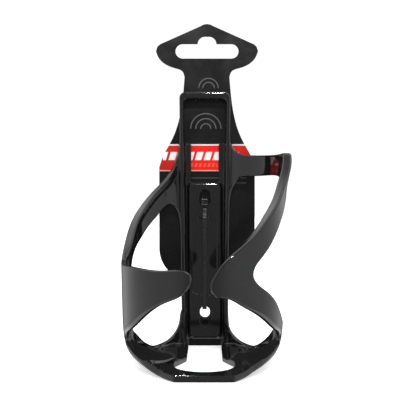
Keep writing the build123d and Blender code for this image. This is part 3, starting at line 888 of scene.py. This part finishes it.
def card_print(nodes, place, x, z):
    """Generic print on black: a red band with bars and ticks, two lines and nested arches."""
    tone = nodes.span(nodes.noise(place, 40.0, 4.0), 0.3, 0.7)
    colour = nodes.mix(tone, (0.0035, 0.0033, 0.0036, 1), (0.006, 0.0057, 0.006, 1))
    # red band, with painted shade: its red is darker towards the card's sides, where the light falls off; a
    # pale line along its top and its bottom
    side = nodes.span(nodes.math("ABSOLUTE", nodes.math("SUBTRACT", x, 1.5)), 13.0, 25.0)
    red = nodes.mix(side, (0.82, 0.008, 0.004, 1), (0.46, 0.010, 0.006, 1))
    colour = nodes.mix(nodes.inside(z, BAND[0], BAND[1], PRINT_BLUR), colour, red)
    above = nodes.inside(z, BAND[1], BAND[1] + 0.8, PRINT_BLUR)
    colour = nodes.mix(above, colour, (0.80, 0.72, 0.70, 1))
    below = nodes.inside(z, BAND[0] - 0.55, BAND[0], PRINT_BLUR)
    colour = nodes.mix(below, colour, (0.62, 0.42, 0.38, 1))
    bars = slanted_bars(nodes, x, z, 4.9, -123.2, 3.5, 0.1, BARS, (-23.3, 19.5))
    colour = nodes.mix(bars, colour, (0.86, 0.84, 0.83, 1))
    ticks = slanted_bars(nodes, x, z, 2.4, -120.0, 1.4, 0.15, TICKS, (-8.2, 7.0))
    colour = nodes.mix(nodes.math("MULTIPLY", ticks, 0.75), colour, (0.85, 0.13, 0.045, 1))
    lines = 0.0
    for low in THIN_LINES:
        lines = nodes.math("ADD", nodes.inside(z, low, low + 0.4, PRINT_BLUR), lines)
    lines = nodes.math("MULTIPLY", lines, nodes.inside(x, -11.0, 23.0, PRINT_BLUR))
    colour = nodes.mix(nodes.math("MULTIPLY", lines, 0.6), colour, grey(0.13))
    for middle, radii, width in ARCHES:
        ink = nested_arches(nodes, x, z, middle, radii, width)
        colour = nodes.mix(ink, colour, grey(0.11))
    return colour


def printed_card():
    """Laminated card: print in front, bare paper on the cut edges, and a dark back."""
    material, nodes, shader, place = new_material("printed_card")
    split = nodes.add("ShaderNodeSeparateXYZ")
    nodes.link(place, split.inputs[0])
    x, y, z = (nodes.math("DIVIDE", output, MM) for output in split.outputs)
    edge = nodes.span(y, 0.08, 0.12)
    fibre = nodes.span(nodes.noise(place, 900.0, 2.0), 0.35, 0.65)
    paper = nodes.mix(fibre, (0.30, 0.28, 0.26, 1), (0.42, 0.40, 0.37, 1))
    rear = nodes.span(y, card_high[1] - 0.12, card_high[1] - 0.08)
    behind = nodes.mix(rear, paper, grey(0.02))
    colour = nodes.mix(edge, card_print(nodes, place, x, z), behind)
    nodes.link(colour, shader.inputs["Base Color"])
    # film over the print: smooth, with the card's own mottle under it
    mottle = nodes.noise(place, 520.0, 3.0)
    broad = nodes.noise(place, 60.0, 2.0)
    film = nodes.span(broad, 0.35, 0.65, 0.20, 0.30)
    rough = nodes.math("MAXIMUM", film, nodes.math("MULTIPLY", edge, 0.7))
    nodes.link(rough, shader.inputs["Roughness"])
    under = nodes.bump(broad, 0.10, 0.001)
    top = nodes.bump(mottle, 0.10, 0.0002)
    nodes.link(under, top.node.inputs["Normal"])
    nodes.link(top, shader.inputs["Normal"])
    shader.inputs["IOR"].default_value = 1.45
    shader.inputs["Specular IOR Level"].default_value = 0.34
    return material


def tie_nylon():
    """Black nylon: semi-gloss, a little rubbed."""
    material, nodes, shader, place = new_material("tie_nylon")
    rub = nodes.noise(place, 420.0, 4.0, 0.6)
    nodes.link(nodes.span(rub, 0.35, 0.7, 0.20, 0.36), shader.inputs["Roughness"])
    black = nodes.mix(rub, (0.006, 0.006, 0.0065, 1), (0.012, 0.012, 0.012, 1))
    nodes.link(black, shader.inputs["Base Color"])
    nodes.link(nodes.bump(rub, 0.15, 0.0001), shader.inputs["Normal"])
    shader.inputs["IOR"].default_value = 1.53
    return material


# --- camera, stage and light ------------------------------------------------------------------
CAMERA = (1.7, -407.0, 26.0)
LENS = 63.43


def make_camera():
    data = bpy.data.cameras.new("camera")
    data.lens = LENS
    data.sensor_width = 36.0
    data.clip_start = 0.01
    data.clip_end = 50.0
    camera = bpy.data.objects.new("camera", data)
    camera.location = Vector(CAMERA) * MM
    camera.rotation_euler = (math.pi / 2, 0, 0)
    bpy.context.scene.collection.objects.link(camera)
    bpy.context.scene.camera = camera


def make_stage():
    """A wide pale floor under the cage."""
    half = 6000.0
    z = BOTTOM - 0.02
    corners = [(-half, -half, z), (half, -half, z), (half, half, z), (-half, half, z)]
    floor = mesh_from("stage_floor", corners, [(0, 1, 2, 3)])
    material, nodes, shader, place = new_material("pale_floor")
    tone = nodes.span(nodes.noise(place, 6.0, 2.0), 0.3, 0.7, 0.86, 0.9)
    nodes.link(nodes.mix(tone, grey(0.0), grey(1.0)), shader.inputs["Base Color"])
    shader.inputs["Roughness"].default_value = 0.9
    shader.inputs["Emission Color"].default_value = grey(1.0)
    shader.inputs["Emission Strength"].default_value = 0.55
    floor.data.materials.append(material)
    floor.visible_glossy = False


def make_world():
    """Reflected studio: bright at the sides and, off centre, above and below; dark behind the cage.

    The camera itself sees white.
    """
    world = bpy.data.worlds.new("studio")
    bpy.context.scene.world = world
    world.use_nodes = True
    nodes = Nodes(world.node_tree)
    background = next(n for n in world.node_tree.nodes if n.type == "BACKGROUND")
    direction = nodes.add("ShaderNodeTexCoord").outputs["Generated"]
    split = nodes.add("ShaderNodeSeparateXYZ")
    nodes.link(direction, split.inputs[0])
    x, y, z = split.outputs
    aside = nodes.span(nodes.math("ABSOLUTE", x), 0.15, 0.75)
    behind = nodes.span(y, 0.1, 0.6)
    low = nodes.span(aside, 0.0, 1.0, 0.36, 0.85, smooth=False)
    rear = nodes.span(aside, 0.0, 1.0, 0.03, 1.0, smooth=False)
    wall = nodes.mix(behind, low, rear)
    spread = nodes.span(nodes.math("ABSOLUTE", x), 0.06, 0.35)
    table = nodes.span(spread, 0.0, 1.0, 0.10, 1.9, smooth=False)
    wall = nodes.mix(nodes.span(z, -0.65, -0.3), table, wall)
    ceiling = nodes.span(spread, 0.0, 1.0, 0.8, 2.6, smooth=False)
    wall = nodes.mix(nodes.span(z, 0.55, 0.85), wall, ceiling)
    seen = nodes.add("ShaderNodeLightPath").outputs["Is Camera Ray"]
    nodes.link(nodes.mix(seen, wall, grey(1.05)), background.inputs["Color"])


def make_light(name, place, target, size, power):
    data = bpy.data.lights.new(name, "AREA")
    data.shape = "RECTANGLE"
    data.size, data.size_y = (side * MM for side in size)
    data.energy = power
    light = bpy.data.objects.new(name, data)
    light.location = Vector(place) * MM
    light.rotation_euler = (Vector(target) - Vector(place)).to_track_quat("-Z", "Y").to_euler()
    bpy.context.scene.collection.objects.link(light)


def place_piece(piece, node, material):
    piece.data.materials.append(material)
    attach(piece, "root")
    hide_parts(node)


bpy.context.scene.view_settings.view_transform = "Standard"
make_camera()
make_stage()
make_world()
make_light("flash", (60, -900, 560), (0, -20, 20), (26, 26), 3.4)

plastic = cage_plastic()
for node in MOULDING:
    place_piece(mesh_region(node, STEP), node, plastic)
place_piece(card_piece(), "hang_card", printed_card())
nylon = tie_nylon()
strap = mesh_field("strap_band", strap_field, strap_low, strap_high, TIE_STEP)
place_piece(strap, "tie_strap", nylon)
head = mesh_field("ratchet_head", head_field, head_low, head_high, TIE_STEP)
place_piece(head, "tie_head", nylon)
